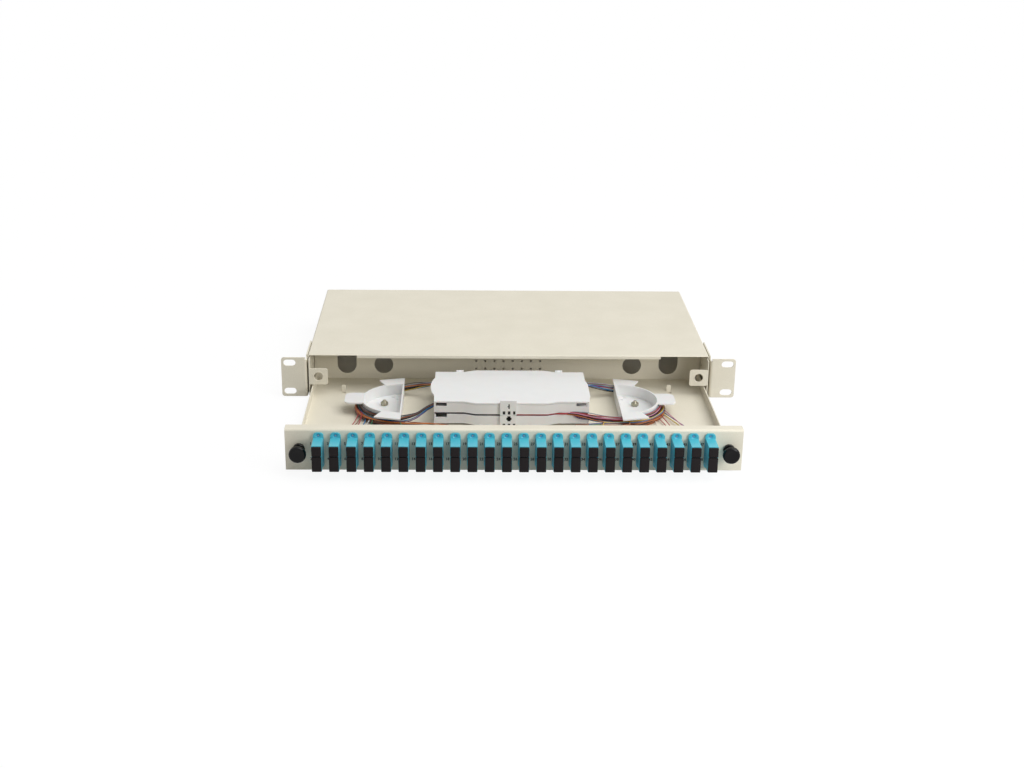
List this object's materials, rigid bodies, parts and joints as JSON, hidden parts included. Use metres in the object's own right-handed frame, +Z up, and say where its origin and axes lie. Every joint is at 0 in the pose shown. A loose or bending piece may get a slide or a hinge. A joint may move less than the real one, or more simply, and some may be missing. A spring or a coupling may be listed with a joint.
{
  "type": "fibre patch panel",
  "caption": "Rack patch panel with a sliding drawer: a row of duplex fibre adapters in front, splice trays with a hinged lid and half-moon fibre guides behind, push-pull latches.",
  "frame": {"origin": "centre of the housing's underside", "axes": "+X to the right along the panel, +Y to the rear of the housing, +Z up"},
  "size_m": [0.4826, 0.46, 0.0436],
  "materials": {
    "powder_coat": "fine-textured beige powder coat",
    "zinc_steel": "zinc-plated",
    "aqua_adapter": "moulded, satin",
    "white_abs": "moulded ABS, satin",
    "black_nylon": "glossy moulded nylon",
    "fibre_jacket": "smooth coloured jacket"
  },
  "bodies": {
    "housing": {"housing_base": "powder_coat", "housing_cover": "powder_coat", "rack_ear_left": "powder_coat", "rack_ear_right": "powder_coat", "ear_screw_left_1": "zinc_steel", "ear_screw_left_2": "zinc_steel", "ear_screw_right_1": "zinc_steel", "ear_screw_right_2": "zinc_steel", "cover_screw_left_1": "zinc_steel", "cover_screw_left_2": "zinc_steel", "cover_screw_right_1": "zinc_steel", "cover_screw_right_2": "zinc_steel"},
    "drawer": {"drawer_tray": "powder_coat", "drawer_rear_wall": "powder_coat", "front_panel": "powder_coat", "adapter_01": "aqua_adapter", "adapter_02": "aqua_adapter", "adapter_03": "aqua_adapter", "adapter_04": "aqua_adapter", "adapter_05": "aqua_adapter", "adapter_06": "aqua_adapter", "adapter_07": "aqua_adapter", "adapter_08": "aqua_adapter", "adapter_09": "aqua_adapter", "adapter_10": "aqua_adapter", "adapter_11": "aqua_adapter", "adapter_12": "aqua_adapter", "adapter_13": "aqua_adapter", "adapter_14": "aqua_adapter", "adapter_15": "aqua_adapter", "adapter_16": "aqua_adapter", "adapter_17": "aqua_adapter", "adapter_18": "aqua_adapter", "adapter_19": "aqua_adapter", "adapter_20": "aqua_adapter", "adapter_21": "aqua_adapter", "adapter_22": "aqua_adapter", "adapter_23": "aqua_adapter", "adapter_24": "aqua_adapter", "splice_stud": "zinc_steel", "guide_stud_left": "zinc_steel", "guide_stud_right": "zinc_steel", "fibre_guide_left": "white_abs", "fibre_guide_right": "white_abs", "guide_nut_left": "zinc_steel", "guide_nut_right": "zinc_steel", "splice_tray_lower": "white_abs", "splice_tray_upper": "white_abs", "stack_nut": "zinc_steel", "latch_grommet_left": "black_nylon", "latch_grommet_right": "black_nylon", "fibre_loop_left": "fibre_jacket", "fibre_loop_right": "fibre_jacket", "fibre_trunk_left": "fibre_jacket", "fibre_trunk_right": "fibre_jacket", "crossing_fibre": "fibre_jacket"},
    "lid": {"splice_lid": "white_abs"},
    "left_latch": {"latch_plunger_left": "black_nylon"},
    "right_latch": {"latch_plunger_right": "black_nylon"}
  },
  "joints": [
    {"name": "drawer_slide", "type": "slide", "parent": "housing", "child": "drawer", "axis": [0, -1, 0], "range_m": [-0.191, 0.038]},
    {"name": "lid_hinge", "type": "hinge", "parent": "drawer", "child": "lid", "pos_m": [0, -0.1191, 0.0274], "axis": [-1, 0, 0], "range_deg": [0, 6.5]},
    {"name": "left_latch_push", "type": "slide", "parent": "drawer", "child": "left_latch", "axis": [0, -1, 0], "range_m": [-0.006, 0]},
    {"name": "right_latch_push", "type": "slide", "parent": "drawer", "child": "right_latch", "axis": [0, -1, 0], "range_m": [-0.006, 0]}
  ]
}
